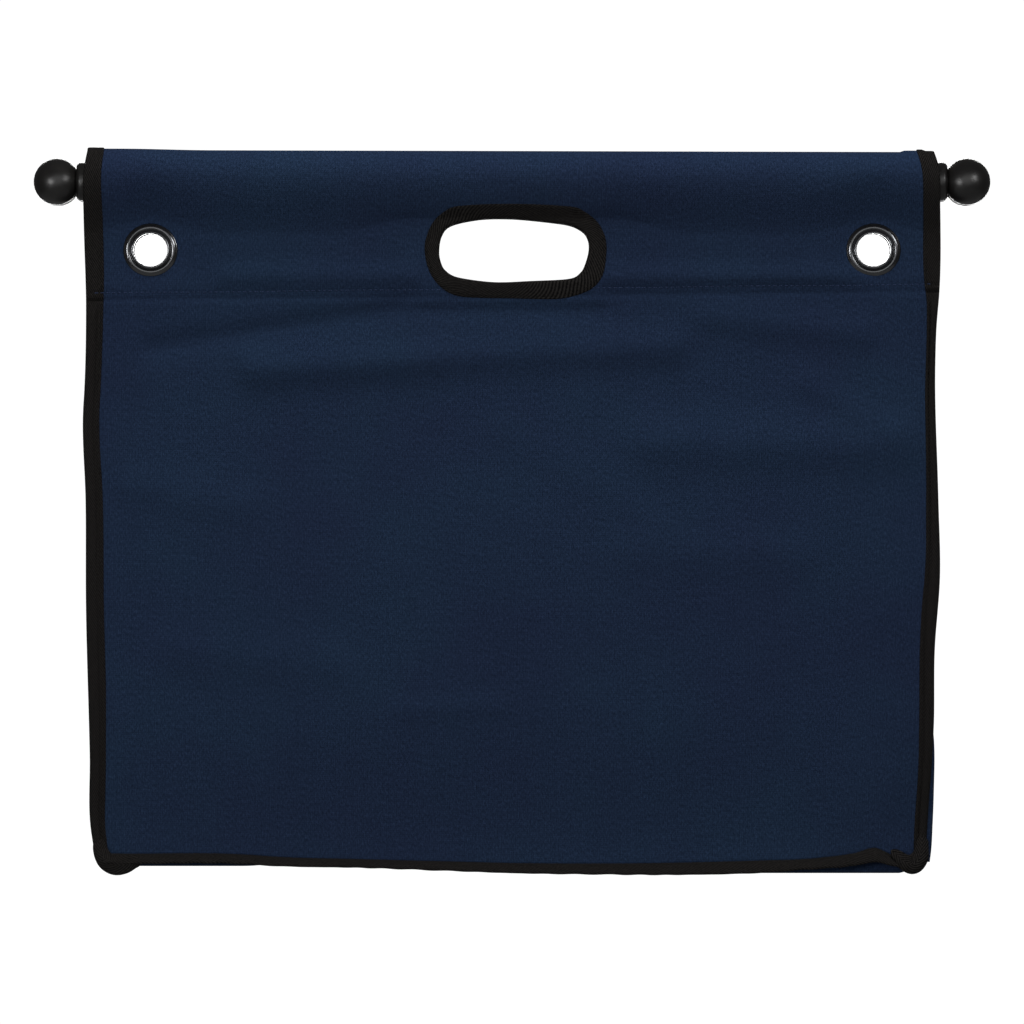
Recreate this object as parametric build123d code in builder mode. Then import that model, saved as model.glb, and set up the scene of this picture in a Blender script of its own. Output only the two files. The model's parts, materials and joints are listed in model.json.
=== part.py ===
"""Fabric storage bin that hangs from two rods and folds flat.

Frame: +X to the right, +Y to the back, +Z up, millimetres. The origin is midway between the
front and back walls of the folded bin, under its lowest point. Everything is drawn folded.

The front and back walls are the same assembly, mirrored. Each side gusset, and the bottom, is
two halves hinged along a centre crease, which fold into the bin between the two walls.
"""

from build123d import *

import os
from math import asin, cos, degrees, pi, sin, sqrt

# Cloth and trim
canvas = 1.2  # thickness of the cloth
tape = 0.6  # thickness of the binding tape
tape_wide = 12.5  # what one side of the folded 25 mm tape covers
skim = 0.1  # air between layers that lie on each other but move apart

# Walls, measured on the folded bin
half_width = 285.0  # to the outer edge of the side binding
height_top = 483.0  # top of the rod sleeve's cloth
height_hem = 390.0  # stitch line that closes the rod sleeve
height_gusset = 382.0  # top edge of the side gussets
height_seam = 13.0  # seam between a wall and the bottom

# Fold
gusset_half = 100.0  # one half of a side gusset, and of the bottom, from seam to crease
hinge_y = 14.0  # half the distance between the front and back seams when folded
panel_gap = 3.9  # from a wall's inner face to the seam line that a gusset turns on

# Rods and ball finials
rod_y = 16.5
rod_z = 462.5
rod_radius = 12.5
rod_wall = 1.5
ball_radius = 15.5
ball_x = 303.5  # centre of each ball
ball_seat = 13.2  # from the ball's centre to the collar's end face
collar_radius = 12.8
collar_long = 9.0
collar_chamfer = 1.8
plug_long = 26.0
plug_play = 0.05  # radial clearance of the plug's ribs in the tube
plug_rib = 0.9  # height of the ribs
rib_count = 4
rib_wide = 2.0

# Rod sleeve: a loop of cloth around the rod, on a neck of two flat layers
loop_air = 1.3  # from the rod to the cloth
neck_fillet = 4.0

# Hand opening and eyelets, on one line below the rod
grip_z = 417.0
grip_wide = 101.0
grip_high = 44.0
grip_corner = 20.0
grip_trim = 9.5  # what its binding covers
eyelet_x = 241.0
bore_radius = 11.3
barrel_wall = 0.7
washer_radius = 18.1
flange_radius = 16.8
roll_high = 2.4  # how far the rolled rim stands out of the wall

# Bottom seams: the tape stands out forwards and down where it holds both cloths
flange_out = 8.6
flange_drop = 5.9
flange_thick = 1.9

# Bottom corners
mitre = 11.0  # keeps the bottom's slanted ends clear of the gussets over the whole fold
corner_lap = 10.0  # how far a corner reaches over the bottom
corner_near = 2.6  # from a corner's edge to the side gusset's seam

# Values that follow
fold_angle = asin(hinge_y / gusset_half)
seam_x = half_width - tape_wide
cloth_x = half_width - tape
panel_in = hinge_y + panel_gap
panel_out = panel_in + canvas
hem_in = panel_in - canvas  # inner face of the hem, where the cloth is double
layer_near = skim + tape  # a gusset's cloth, from the line between its hinges
layer_far = layer_near + canvas
start_u = 0.3  # a gusset's first edge, from its seam
end_u = gusset_half - skim
span = 2 * seam_x
barrel_radius = bore_radius + barrel_wall
collar_x = ball_x - ball_seat
rod_half = collar_x - collar_long
loop_in = rod_radius + loop_air
loop_out = loop_in + canvas
loop_rise = height_top - loop_out - rod_z  # how much higher than round the loop is
corner_travel = gusset_half * (pi / 2 - fold_angle)

os.makedirs("parts", exist_ok=True)


def save(part, name):
    """Labels one finished piece and writes it as its own STEP file."""
    part.label = name
    export_step(part, f"parts/{name}.step")


def turned_over(part, plane):
    """The mirror image of a finished piece."""
    with BuildPart() as image:
        mirror(part, about=plane)
    return image.part


def save_pair(part, front_name, back_name):
    """Writes a front piece, and its mirror image at the back."""
    save(part, front_name)
    save(turned_over(part, Plane.XZ), back_name)


def save_four(part, name):
    """Writes a left front piece and its three mirror images, with the places filled into the name."""
    for side in ("left", "right"):
        here = part if side == "left" else turned_over(part, Plane.YZ)
        save_pair(here, name.format(side=side, depth="front"), name.format(side=side, depth="back"))


# ---------------------------------------------------------------- outlines

# Sections of the sleeve, with X as the depth through the bin and Y as the height.
with BuildSketch() as loop_outer:
    with Locations((-rod_y, rod_z), (-rod_y, rod_z + loop_rise)):
        Circle(loop_out)
    with Locations((-rod_y, rod_z + loop_rise / 2)):
        Rectangle(2 * loop_out, loop_rise)
    with Locations((-panel_out, height_hem)):
        Rectangle(2 * canvas, rod_z - height_hem, align=(Align.MIN, Align.MIN))
    notches = [v for v in loop_outer.vertices() if height_hem < v.Y < rod_z and abs(v.X + panel_in) < 2]
    fillet(notches, neck_fillet)

with BuildSketch() as loop_inner:
    with Locations((-rod_y, rod_z), (-rod_y, rod_z + loop_rise)):
        Circle(loop_in)
    with Locations((-rod_y, rod_z + loop_rise / 2)):
        Rectangle(2 * loop_in, loop_rise)

with BuildSketch() as sleeve_section:
    add(loop_outer.sketch)
    add(loop_inner.sketch, mode=Mode.SUBTRACT)

# The tape lies on both sides of the cloth. At the hem it stops level with it.
with BuildSketch() as taped_section:
    offset(loop_outer.sketch, amount=tape, kind=Kind.INTERSECTION)
    with Locations((-panel_in, height_hem)):
        Rectangle(20, 20, align=(Align.CENTER, Align.MAX), mode=Mode.SUBTRACT)
    offset(loop_inner.sketch, amount=-tape, mode=Mode.SUBTRACT)

# Shapes cut through a wall, with X along it and Y up.
with BuildSketch() as grip_hole:
    with Locations((0, grip_z)):
        RectangleRounded(grip_wide, grip_high, grip_corner)

with BuildSketch() as grip_cloth_edge:
    offset(grip_hole.sketch, amount=tape)

# ---------------------------------------------------------------- walls

deep = 40.0  # longer than a wall is thick, for cuts that go right through

with BuildPart() as panel:
    with Locations((0, -panel_out, height_seam)):
        Box(
            2 * cloth_x,
            canvas,
            height_hem - height_seam,
            align=(Align.CENTER, Align.MIN, Align.MIN),
        )
save_pair(panel.part, "front_panel", "back_panel")

with BuildPart() as sleeve:
    with BuildSketch(Plane.YZ):
        add(sleeve_section.sketch)
    extrude(amount=cloth_x, both=True)
    with BuildSketch(Plane.XZ):
        add(grip_cloth_edge.sketch)
        with Locations((-eyelet_x, grip_z), (eyelet_x, grip_z)):
            Circle(barrel_radius)
    extrude(amount=deep, mode=Mode.SUBTRACT)
save_pair(sleeve.part, "front_rod_sleeve", "back_rod_sleeve")

with BuildPart() as side_binding:
    with Locations((-half_width, -panel_out - tape, height_seam)):
        Box(
            tape_wide,
            canvas + 2 * tape,
            height_hem - height_seam,
            align=(Align.MIN, Align.MIN, Align.MIN),
        )
    add(panel.part, mode=Mode.SUBTRACT)
save_four(side_binding.part, "{depth}_{side}_side_binding")

with BuildPart() as sleeve_binding:
    with BuildSketch(Plane.YZ.offset(-half_width)):
        add(taped_section.sketch)
    extrude(amount=tape_wide)
    add(sleeve.part, mode=Mode.SUBTRACT)
save_four(sleeve_binding.part, "{depth}_{side}_sleeve_binding")

with BuildPart() as grip_binding:
    with BuildSketch(Plane.XZ.offset(hem_in - tape)):
        offset(grip_hole.sketch, amount=grip_trim)
        add(grip_hole.sketch, mode=Mode.SUBTRACT)
    extrude(amount=panel_out - hem_in + 2 * tape)
    add(panel.part, mode=Mode.SUBTRACT)
    add(sleeve.part, mode=Mode.SUBTRACT)
save_pair(grip_binding.part, "front_grip_binding", "back_grip_binding")

with BuildPart() as bottom_binding:
    with BuildSketch(Plane.YZ):
        with BuildLine():
            Polyline(
                (-panel_in + 0.4, height_seam),
                (-panel_out - 0.9, height_seam),
                (-panel_out - 0.9 - flange_out, height_seam - flange_drop),
                (-panel_out + 0.5 - flange_out, height_seam - flange_drop - flange_thick),
                close=True,
            )
        make_face()
    extrude(amount=half_width, both=True)
save_pair(bottom_binding.part, "front_bottom_binding", "back_bottom_binding")

# ---------------------------------------------------------------- eyelets

# Profiles with X as the distance from the eyelet's axis and Y as the depth through the wall.
inner_clinch = -hem_in
outer_face = -panel_out
outer_roll = outer_face - roll_high

with BuildPart() as eyelet:
    with BuildSketch():
        with BuildLine():
            Polyline(
                (bore_radius, inner_clinch + 1.3),
                (bore_radius, outer_roll + 0.5),
                (bore_radius + 0.5, outer_roll),
                (bore_radius + 1.6, outer_roll),
                (bore_radius + 2.3, outer_roll + 0.7),
                (bore_radius + 2.3, outer_face - 1.0),
                (barrel_radius, outer_face - 1.0),
                (barrel_radius, inner_clinch),
                (flange_radius, inner_clinch),
                (flange_radius, inner_clinch + 0.7),
                (flange_radius - 0.8, inner_clinch + 1.3),
                close=True,
            )
        make_face()
    revolve(axis=Axis.Y)

with BuildPart() as washer:
    with BuildSketch():
        with BuildLine():
            Polyline(
                (washer_radius, outer_face),
                (barrel_radius, outer_face),
                (barrel_radius, outer_face - 1.0),
                (barrel_radius + 1.6, outer_face - 1.0),
            )
            ThreePointArc(
                (barrel_radius + 1.6, outer_face - 1.0),
                (washer_radius - 2.0, outer_face - 1.5),
                (washer_radius, outer_face),
            )
        make_face()
    revolve(axis=Axis.Y)

for piece, tail in ((eyelet, "eyelet"), (washer, "eyelet_washer")):
    with BuildPart() as in_place:
        with Locations((-eyelet_x, 0, grip_z)):
            add(piece.part)
    save_four(in_place.part, "{depth}_{side}_" + tail)

# ---------------------------------------------------------------- rods

with BuildPart() as rod:
    with BuildSketch(Plane.YZ):
        with Locations((-rod_y, rod_z)):
            Circle(rod_radius)
            Circle(rod_radius - rod_wall, mode=Mode.SUBTRACT)
    extrude(amount=rod_half, both=True)
save_pair(rod.part, "front_rod", "back_rod")

# One moulding: a ball on a collar, with a ribbed plug that fills the tube's end.
# Its profile has X along the rod and Y as the distance from the rod's axis.
bore_fit = rod_radius - rod_wall - plug_play
seat_radius = sqrt(ball_radius**2 - ball_seat**2)
rib_pitch = plug_long / rib_count
with BuildPart() as finial:
    with BuildSketch():
        with BuildLine():
            Polyline(
                (-collar_x, seat_radius),
                (-collar_x, collar_radius - collar_chamfer),
                (-collar_x + collar_chamfer, collar_radius),
                (-rod_half, collar_radius),
                (-rod_half, bore_fit - plug_rib),
                (-rod_half + plug_long, bore_fit - plug_rib),
                (-rod_half + plug_long, 0),
                (-ball_x - ball_radius, 0),
            )
            ThreePointArc(
                (-ball_x - ball_radius, 0),
                (-ball_x - ball_radius * sin(pi / 12), ball_radius * cos(pi / 12)),
                (-collar_x, seat_radius),
            )
        make_face()
        with Locations((-rod_half + plug_long / 2, bore_fit / 2)):
            with GridLocations(rib_pitch, 0, rib_count, 1):
                Rectangle(rib_wide, bore_fit)
    revolve(axis=Axis.X)
with BuildPart() as finial_in_place:
    with Locations((0, -rod_y, rod_z)):
        add(finial.part)
save_four(finial_in_place.part, "{depth}_{side}_finial")

# ---------------------------------------------------------------- side gussets

# X runs inwards from the front seam, and Y into the fold, away from the other half.
gusset_plane = Plane(
    origin=(-seam_x, -hinge_y, 0),
    x_dir=(cos(fold_angle), sin(fold_angle), 0),
    z_dir=(0, 0, 1),
)


def gusset_slab(near, far, low, high):
    """A slab of the left front gusset half, between two depths from its hinge line and two heights."""
    with BuildPart() as slab:
        with BuildSketch(gusset_plane.offset(low)):
            with Locations((start_u, -near)):
                Rectangle(end_u - start_u, far - near, align=(Align.MIN, Align.MAX))
        extrude(amount=high - low)
    return slab.part


gusset_cloth = gusset_slab(layer_near, layer_far, tape, height_gusset - tape)
save_four(gusset_cloth, "{side}_gusset_{depth}_half")

with BuildPart() as rim_binding:
    add(gusset_slab(skim, layer_far + tape, height_gusset - tape_wide, height_gusset))
    add(gusset_cloth, mode=Mode.SUBTRACT)
save_four(rim_binding.part, "{side}_gusset_{depth}_rim_binding")

with BuildPart() as foot_binding:
    add(gusset_slab(skim, layer_far + tape, 0, height_seam - skim))
    add(gusset_cloth, mode=Mode.SUBTRACT)
save_four(foot_binding.part, "{side}_gusset_{depth}_foot_binding")

# ---------------------------------------------------------------- bottom

# X runs from the left gusset's seam to the right one, and Y up from the front seam.
bottom_plane = Plane(
    origin=(-seam_x, -hinge_y, height_seam),
    x_dir=(1, 0, 0),
    z_dir=(0, -cos(fold_angle), sin(fold_angle)),
)

with BuildPart() as bottom_half:
    with BuildSketch(bottom_plane.offset(layer_near)):
        with BuildLine():
            Polyline(
                (start_u + mitre, start_u),
                (span - start_u - mitre, start_u),
                (span - end_u - mitre, end_u),
                (end_u + mitre, end_u),
                close=True,
            )
        make_face()
    extrude(amount=canvas)
save_pair(bottom_half.part, "bottom_front_half", "bottom_back_half")

# The bottom's corners are folded in with it. They lie on its half, and spread out as it opens.
with BuildPart() as corner:
    with BuildSketch(bottom_plane.offset(layer_far + 0.3)):
        with BuildLine():
            Polyline(
                (corner_travel + corner_near, start_u),
                (corner_travel + start_u + mitre + corner_lap, start_u),
                (corner_travel + end_u + mitre + corner_lap, end_u),
                (corner_travel + corner_near, end_u),
                close=True,
            )
        make_face()
    extrude(amount=canvas)
save_four(corner.part, "bottom_{depth}_{side}_corner")

print(f"fold angle {degrees(fold_angle):.4f} degrees, corner travel {corner_travel:.3f} mm")
print(f"depth when open {2 * (gusset_half + panel_gap + canvas):.1f} mm")
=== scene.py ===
"""Fabric storage bin: two walls of navy canvas on rods with ball ends, gussets and bottom folded between.

Shapes are worked out in millimetres and become metres when they are put into a mesh.
"""

import json

import bmesh
import bpy
import numpy as np
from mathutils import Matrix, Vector


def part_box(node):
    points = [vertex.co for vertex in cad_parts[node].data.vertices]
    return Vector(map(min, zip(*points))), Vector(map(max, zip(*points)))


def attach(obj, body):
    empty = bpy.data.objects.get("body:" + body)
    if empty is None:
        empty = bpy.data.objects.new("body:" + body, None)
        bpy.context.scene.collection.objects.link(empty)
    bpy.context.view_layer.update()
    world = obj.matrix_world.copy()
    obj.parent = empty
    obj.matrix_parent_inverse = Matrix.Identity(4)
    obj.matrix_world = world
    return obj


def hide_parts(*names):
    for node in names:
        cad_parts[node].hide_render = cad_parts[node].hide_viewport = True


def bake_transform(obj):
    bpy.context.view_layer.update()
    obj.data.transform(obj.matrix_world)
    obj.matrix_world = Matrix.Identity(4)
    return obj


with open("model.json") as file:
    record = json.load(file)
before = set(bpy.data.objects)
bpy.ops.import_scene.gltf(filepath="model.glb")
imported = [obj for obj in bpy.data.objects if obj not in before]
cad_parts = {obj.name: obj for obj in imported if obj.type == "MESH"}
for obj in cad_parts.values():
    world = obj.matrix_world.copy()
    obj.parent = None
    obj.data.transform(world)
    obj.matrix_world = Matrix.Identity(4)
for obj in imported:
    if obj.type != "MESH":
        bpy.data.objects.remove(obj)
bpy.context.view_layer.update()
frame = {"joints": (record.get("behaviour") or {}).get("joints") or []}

DEPTHS = {"front": -1.0, "back": 1.0}
SIDES = {"left": -1.0, "right": 1.0}

# ---------------------------------------------------------------- sizes, read from the frame


def box_mm(node):
    """Lowest and highest corner of a CAD node in millimetres."""
    low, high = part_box(node)
    return np.array(low) * 1000, np.array(high) * 1000


def joint_mm(name):
    """A point on a joint's axis, in millimetres."""
    for joint in frame["joints"]:
        if joint["name"] == name:
            return np.array(joint["pos_m"]) * 1000
    raise ValueError(name)


panel_low, panel_high = box_mm("front_panel")
sleeve_high = box_mm("front_rod_sleeve")[1]
rod_low, rod_high = box_mm("front_rod")
washer_low, washer_high = box_mm("front_left_eyelet_washer")
grip_low, grip_high = box_mm("front_grip_binding")
finial_low, finial_high = box_mm("front_left_finial")
corner_low = box_mm("bottom_front_left_corner")[0]

CLOTH = panel_high[1] - panel_low[1]  # thickness of the canvas
TAPE = 0.5  # thickness of the binding tape
FACE = -panel_low[1]  # a wall's outer face, from the middle of the folded bin
BACK = -panel_high[1]  # its inner face
BAND = BACK  # where the two layers of the sleeve's flat band meet
HEM = panel_high[2]
SEAM_Z = panel_low[2]
TOP = sleeve_high[2] - CLOTH / 2
ROD_Y = (rod_low[1] + rod_high[1]) / 2
ROD_Z = (rod_low[2] + rod_high[2]) / 2
ROD_RADIUS = (rod_high[2] - rod_low[2]) / 2
ROD_END = rod_high[0]
LOOP = ROD_RADIUS + 1.3 + CLOTH / 2  # half the width of the loop's cloth round the rod
EYE_X = -(washer_low[0] + washer_high[0]) / 2
EYE_Z = (washer_low[2] + washer_high[2]) / 2
WASHER = (washer_high[0] - washer_low[0]) / 2
GRIP_Z = (grip_low[2] + grip_high[2]) / 2
SEAM = joint_mm("left_front_seam")
CREASE = joint_mm("left_crease")
LEAN = np.arctan2(CREASE[1] - SEAM[1], CREASE[0] - SEAM[0])  # how far a folded half leans from its wall
HALF = np.hypot(CREASE[1] - SEAM[1], CREASE[0] - SEAM[0])
GUSSET_TOP = box_mm("left_gusset_front_rim_binding")[1][2]

# ---------------------------------------------------------------- making meshes


def mesh_object(name, parts, material, thickness=0.0, closed=False, depth=-1.0):
    """Puts grids of points into one mesh, welds their seams and poles, and gives an open sheet its thickness.

    Each part is (points, uv, keep): points is rows x columns x 3 in millimetres, uv is rows x columns x 2
    in metres, and keep says which of the grid's faces exist, or is None for all. depth 1 turns a piece
    drawn at the front to the back.
    """
    vertices, faces, uvs = [], [], []
    count = 0
    for points, uv, keep in parts:
        rows, columns = points.shape[:2]
        index = np.arange(rows * columns).reshape(rows, columns) + count
        quads = np.stack((index[:-1, :-1], index[:-1, 1:], index[1:, 1:], index[1:, :-1]), axis=-1)
        quads = quads.reshape(-1, 4) if keep is None else quads[keep]
        vertices.append(points.reshape(-1, 3) * 0.001 * np.array((1.0, -depth, 1.0)))
        uvs.append(np.broadcast_to(uv, (rows, columns, 2)).reshape(-1, 2))
        faces.append(quads)
        count += rows * columns
    vertices = np.concatenate(vertices)
    faces = np.concatenate(faces)
    uvs = np.concatenate(uvs)
    mesh = bpy.data.meshes.new(name)
    mesh.from_pydata(vertices.tolist(), [], faces.tolist())
    mesh.uv_layers.new(name="cloth").data.foreach_set("uv", uvs[faces.ravel()].ravel())
    shape = bmesh.new()
    shape.from_mesh(mesh)
    bmesh.ops.remove_doubles(shape, verts=shape.verts, dist=2e-6)
    loose = [v for v in shape.verts if not v.link_faces]
    bmesh.ops.delete(shape, geom=loose, context="VERTS")
    if closed:
        bmesh.ops.recalc_face_normals(shape, faces=shape.faces)
    shape.to_mesh(mesh)
    shape.free()
    mesh.polygons.foreach_set("use_smooth", np.ones(len(mesh.polygons), bool))
    mesh.materials.append(material)
    made = bpy.data.objects.new(name, mesh)
    bpy.context.scene.collection.objects.link(made)
    if thickness:
        solid = made.modifiers.new("thickness", "SOLIDIFY")
        solid.thickness = thickness * 0.001
        solid.offset = 0.0
    return made


def through(at, places, values):
    """A smooth line through points: cubics between neighbours, with the local chord's slope at each point."""
    places = np.asarray(places, float)
    values = np.asarray(values, float)
    slope = np.gradient(values, places)
    at = np.clip(at, places[0], places[-1])
    i = np.clip(np.searchsorted(places, at, side="right") - 1, 0, len(places) - 2)
    step = places[i + 1] - places[i]
    t = (at - places[i]) / step
    return (
        (2 * t**3 - 3 * t**2 + 1) * values[i]
        + (t**3 - 2 * t**2 + t) * step * slope[i]
        + (3 * t**2 - 2 * t**3) * values[i + 1]
        + (t**3 - t**2) * step * slope[i + 1]
    )


def closed_curve(points, count):
    """A closed line through points in a plane, each cubic leaving a point along its neighbours' chord."""
    points = np.asarray(points, float)
    turn = np.arange(-3, len(points) + 4)
    ring = points[turn % len(points)]
    at = np.linspace(0, len(points), count)
    return np.stack((through(at, turn, ring[:, 0]), through(at, turn, ring[:, 1])), axis=-1)


def smooth(t):
    """0 below 0, 1 above 1, and an S between."""
    t = np.clip(t, 0, 1)
    return t * t * (3 - 2 * t)


def bump(t):
    """1 at 0, and gone by about 2 on both sides, as a bell."""
    return np.exp(-t * t)


def run_length(points):
    """Distance along each column of a grid of points, from its first row."""
    steps = np.linalg.norm(np.diff(points, axis=0), axis=-1)
    return np.concatenate((np.zeros((1,) + steps.shape[1:]), np.cumsum(steps, axis=0)))


# ---------------------------------------------------------------- materials


def linear(hex_colour):
    """An sRGB hex colour as linear red, green, blue and alpha."""
    value = np.array([int(hex_colour[i : i + 2], 16) for i in (1, 3, 5)]) / 255
    value = np.where(value <= 0.04045, value / 12.92, ((value + 0.055) / 1.055) ** 2.4)
    return (*value.tolist(), 1.0)


def add_node(tree, kind, inputs=None, stops=(), **settings):
    """Adds a node with its properties, its inputs and, for a ramp, its stops of (place, hex colour).

    An input is given a value, the socket that feeds it, or a node whose first output feeds it.
    """
    node = tree.nodes.new("ShaderNode" + kind)
    for name, value in settings.items():
        setattr(node, name, value)
    for name, value in (inputs or {}).items():
        if isinstance(value, bpy.types.Node):
            value = value.outputs[0]
        if isinstance(value, bpy.types.NodeSocket):
            tree.links.new(value, node.inputs[name])
        else:
            node.inputs[name].default_value = value
    for i, (place, colour) in enumerate(stops):
        element = node.color_ramp.elements[i] if i < 2 else node.color_ramp.elements.new(place)
        element.position = place
        element.color = linear(colour)
    return node


def new_material(name):
    """A material with an empty tree, and that tree."""
    material = bpy.data.materials.new(name)
    material.use_nodes = True
    material.node_tree.nodes.clear()
    return material, material.node_tree


def dyed_canvas():
    """Cotton canvas, plain woven and piece dyed navy: matt, with a faint dusty sheen and uneven threads."""
    material, tree = new_material("plain woven cotton canvas, dyed navy")
    uv = add_node(tree, "UVMap", uv_map="cloth")
    # Threads lie 0.5 mm apart. Here they are 1.3 mm, because finer ones wouldn't show.
    pitch = 0.0013
    wobble = add_node(tree, "TexNoise", {"Vector": uv, "Scale": 190.0, "Detail": 2.0})
    shift = add_node(
        tree,
        "VectorMath",
        {0: wobble.outputs["Color"], 1: (0.0007, 0.0007, 0.0), 2: uv},
        operation="MULTIPLY_ADD",
    )
    turns = add_node(tree, "VectorMath", {0: shift, "Scale": np.pi / pitch}, operation="SCALE")
    waves = add_node(tree, "VectorMath", {0: turns}, operation="SINE")
    signed = add_node(tree, "SeparateXYZ", {0: waves})
    heights = add_node(tree, "SeparateXYZ", {0: add_node(tree, "VectorMath", {0: waves}, operation="ABSOLUTE")})
    # Where warp lies over weft its ridge shows, and the other way round on the next crossing.
    same = add_node(tree, "Math", {0: signed.outputs["X"], 1: signed.outputs["Y"]}, operation="MULTIPLY")
    over = add_node(tree, "Math", {0: same, 1: 0.0}, operation="GREATER_THAN")
    weave = add_node(
        tree, "Mix", {"Factor": over, "A": heights.outputs["Y"], "B": heights.outputs["X"]}, data_type="FLOAT"
    )
    # Slubs: threads thicker and paler for a few centimetres, along and across.
    slub_along = add_node(tree, "Mapping", {"Vector": uv, "Scale": (760.0, 26.0, 1.0)})
    slub_along = add_node(tree, "TexNoise", {"Vector": slub_along, "Scale": 1.0})
    slub_across = add_node(tree, "Mapping", {"Vector": uv, "Scale": (26.0, 760.0, 1.0)})
    slub_across = add_node(tree, "TexNoise", {"Vector": slub_across, "Scale": 1.0})
    slub = add_node(tree, "Math", {0: slub_along, 1: slub_across}, operation="ADD")
    # The nap is brushed along the warp, so its grain is drawn out that way and leans a little.
    brushed = add_node(tree, "Mapping", {"Vector": uv, "Rotation": (0.0, 0.0, 0.12), "Scale": (1.0, 0.42, 1.0)})
    grain = add_node(tree, "TexNoise", {"Vector": brushed, "Scale": 980.0, "Detail": 3.0, "Roughness": 0.7})
    place = add_node(tree, "TexCoord").outputs["Object"]
    cloud = add_node(tree, "TexNoise", {"Vector": place, "Scale": 9.0, "Detail": 3.0})
    tone = add_node(tree, "Math", {0: grain, 1: 0.86}, operation="MULTIPLY")
    for part, share in ((slub, 0.10), (weave, 0.10), (cloud, 0.12)):
        tone = add_node(tree, "Math", {0: part, 1: share, 2: tone}, operation="MULTIPLY_ADD")
    colour = add_node(tree, "ValToRGB", {0: tone}, ((0.42, "#0f1827"), (0.655, "#192539"), (0.9, "#26344d")))
    # The dye took unevenly: patches lean to violet and to green.
    tint = add_node(tree, "ValToRGB", {0: cloud}, ((0.36, "#fff7fd"), (0.64, "#f6fffc")))
    colour = add_node(
        tree, "MixRGB", {"Fac": 1.0, "Color1": colour, "Color2": tint}, blend_type="MULTIPLY"
    )
    height = add_node(tree, "Math", {0: weave, 1: 0.7}, operation="MULTIPLY")
    height = add_node(tree, "Math", {0: grain, 1: 0.8, 2: height}, operation="MULTIPLY_ADD")
    relief = add_node(tree, "Bump", {"Height": height, "Strength": 0.32, "Distance": 0.0004})
    surface = add_node(
        tree,
        "BsdfPrincipled",
        {
            "Base Color": colour,
            "Roughness": 0.88,
            "IOR": 1.5,
            "Specular IOR Level": 0.06,
            "Sheen Weight": 0.03,
            "Sheen Roughness": 0.5,
            "Sheen Tint": linear("#6f86b4"),
            "Normal": relief,
        },
    )
    add_node(tree, "OutputMaterial", {"Surface": surface})
    return material


def twill_tape(name, dark, pale):
    """Cotton herringbone tape, dyed black: matt, with slanted ridges that turn back in its middle."""
    material, tree = new_material(name)
    uv = add_node(tree, "UVMap", uv_map="cloth")
    axes = add_node(tree, "SeparateXYZ", {0: uv})
    noise = add_node(tree, "TexNoise", {"Vector": uv, "Scale": 640.0, "Detail": 3.0})
    # Ridges 1.3 mm apart, which run at about 30 degrees to the tape: 2.6 mm apart along it.
    pitch = 0.0026
    slant = add_node(tree, "Math", {0: axes.outputs["Y"]}, operation="ABSOLUTE")
    ridge = add_node(tree, "Math", {0: slant, 1: 1.7, 2: axes.outputs["X"]}, operation="MULTIPLY_ADD")
    ridge = add_node(tree, "Math", {0: noise, 1: 0.0006, 2: ridge}, operation="MULTIPLY_ADD")
    ridge = add_node(tree, "Math", {0: ridge, 1: 2 * np.pi / pitch}, operation="MULTIPLY")
    ridge = add_node(tree, "Math", {0: ridge}, operation="SINE")
    ridge = add_node(tree, "Math", {0: ridge, 1: 0.5, 2: 0.5}, operation="MULTIPLY_ADD")
    tone = add_node(tree, "Math", {0: noise, 1: 0.62}, operation="MULTIPLY")
    tone = add_node(tree, "Math", {0: ridge, 1: 0.45, 2: tone}, operation="MULTIPLY_ADD")
    colour = add_node(tree, "ValToRGB", {0: tone}, ((0.3, dark), (0.8, pale)))
    relief = add_node(tree, "Bump", {"Height": tone, "Strength": 0.6, "Distance": 0.0006})
    surface = add_node(
        tree,
        "BsdfPrincipled",
        {
            "Base Color": colour,
            "Roughness": 0.8,
            "Specular IOR Level": 0.08,
            "Sheen Weight": 0.005,
            "Sheen Roughness": 0.5,
            "Normal": relief,
        },
    )
    add_node(tree, "OutputMaterial", {"Surface": surface})
    return material


def hard_finish(name, dark, pale, scale, strength, surface):
    """A moulded or coated black: two close tones in soft patches, and fine relief of the given strength."""
    material, tree = new_material(name)
    place = add_node(tree, "TexCoord").outputs["Object"]
    patch = add_node(tree, "TexNoise", {"Vector": place, "Scale": 60.0, "Detail": 3.0})
    grit = add_node(tree, "TexNoise", {"Vector": place, "Scale": scale, "Detail": 2.0})
    colour = add_node(tree, "ValToRGB", {0: patch}, ((0.35, dark), (0.65, pale)))
    relief = add_node(tree, "Bump", {"Height": grit, "Strength": strength, "Distance": 0.0002})
    coat = add_node(tree, "BsdfPrincipled", {"Base Color": colour, "Normal": relief, **surface})
    add_node(tree, "OutputMaterial", {"Surface": coat})
    return material


def sewing_thread(name, dark, pale):
    """Spun polyester thread, twisted from plies: nearly matt, with a slanting stripe 0.4 mm apart."""
    material, tree = new_material(name)
    place = add_node(tree, "TexCoord").outputs["Object"]
    twist = {"Vector": place, "Scale": 380.0, "Distortion": 2.0}
    ply = add_node(tree, "TexWave", twist, bands_direction="DIAGONAL")
    colour = add_node(tree, "ValToRGB", {0: ply.outputs["Fac"]}, ((0.2, dark), (0.8, pale)))
    finish = {"Base Color": colour, "Roughness": 0.6, "Specular IOR Level": 0.12}
    surface = add_node(tree, "BsdfPrincipled", finish)
    add_node(tree, "OutputMaterial", {"Surface": surface})
    return material


CANVAS = dyed_canvas()
BLACK_TAPE = twill_tape("herringbone cotton tape, dyed black", "#020202", "#22201f")
# Satin moulded plastic: soft highlights, with the mould's faint grain.
MOULDED = hard_finish(
    "polypropylene, injection moulded, black", "#0d0c0c", "#151413", 2600.0, 0.2,
    {"Roughness": 0.36, "IOR": 1.49, "Specular IOR Level": 0.55},
)
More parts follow.
